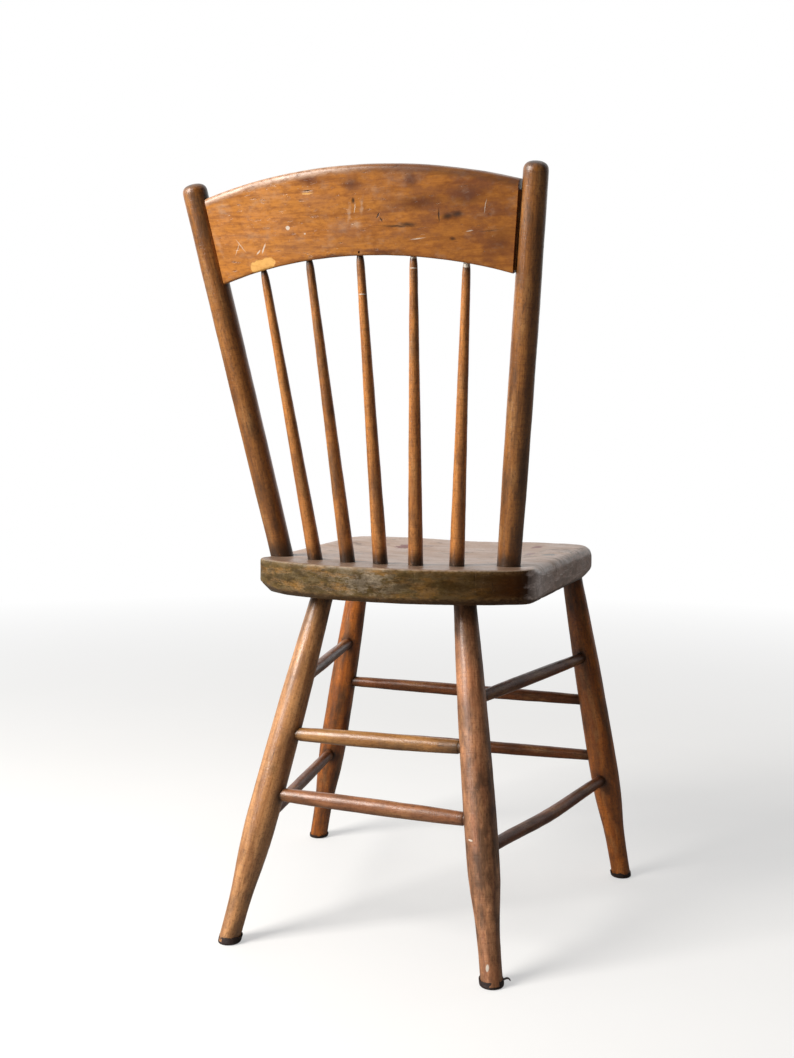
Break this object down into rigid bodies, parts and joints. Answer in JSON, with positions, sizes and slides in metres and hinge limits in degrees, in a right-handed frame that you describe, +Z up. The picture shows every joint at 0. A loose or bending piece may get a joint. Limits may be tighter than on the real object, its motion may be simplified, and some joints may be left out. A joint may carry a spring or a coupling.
{
  "type": "weathered plank-seat side chair",
  "caption": "Worn wooden side chair with a scooped plank seat, splayed turned legs tied by stretchers, raked posts, tapered spindles and a bowed crest rail.",
  "frame": {"origin": "on the floor, under the middle of the chair's outline seen from above", "axes": "+Z up, -Y the way the sitter faces, +X the sitter's left"},
  "size_m": [0.4742, 0.4456, 0.8784],
  "materials": {
    "painted_plank": "olive paint worn to bare wood on the edge, pale flaking paint on the top",
    "varnished_rail": "orange-brown varnish, scratched, chipped and grimy",
    "stained_sticks": "brown stain with worn satin varnish and dark grime at the joints",
    "foot_leather": "dark, dry and ragged at the rim",
    "tack_iron": "dull, rusted"
  },
  "bodies": {
    "root": {"seat": "painted_plank", "crest_rail": "varnished_rail", "left_post": "stained_sticks", "right_post": "stained_sticks", "spindle_1": "stained_sticks", "spindle_2": "stained_sticks", "spindle_3": "stained_sticks", "spindle_4": "stained_sticks", "spindle_5": "stained_sticks", "front_left_leg": "stained_sticks", "front_right_leg": "stained_sticks", "rear_left_leg": "stained_sticks", "rear_right_leg": "stained_sticks", "front_upper_stretcher": "stained_sticks", "front_lower_stretcher": "stained_sticks", "rear_upper_stretcher": "stained_sticks", "rear_lower_stretcher": "stained_sticks", "left_upper_stretcher": "stained_sticks", "left_lower_stretcher": "stained_sticks", "right_upper_stretcher": "stained_sticks", "right_lower_stretcher": "stained_sticks", "front_left_foot_pad": "foot_leather", "front_right_foot_pad": "foot_leather", "rear_left_foot_pad": "foot_leather", "rear_right_foot_pad": "foot_leather", "front_left_foot_tack": "tack_iron", "front_right_foot_tack": "tack_iron", "rear_left_foot_tack": "tack_iron", "rear_right_foot_tack": "tack_iron"}
  },
  "joints": []
}
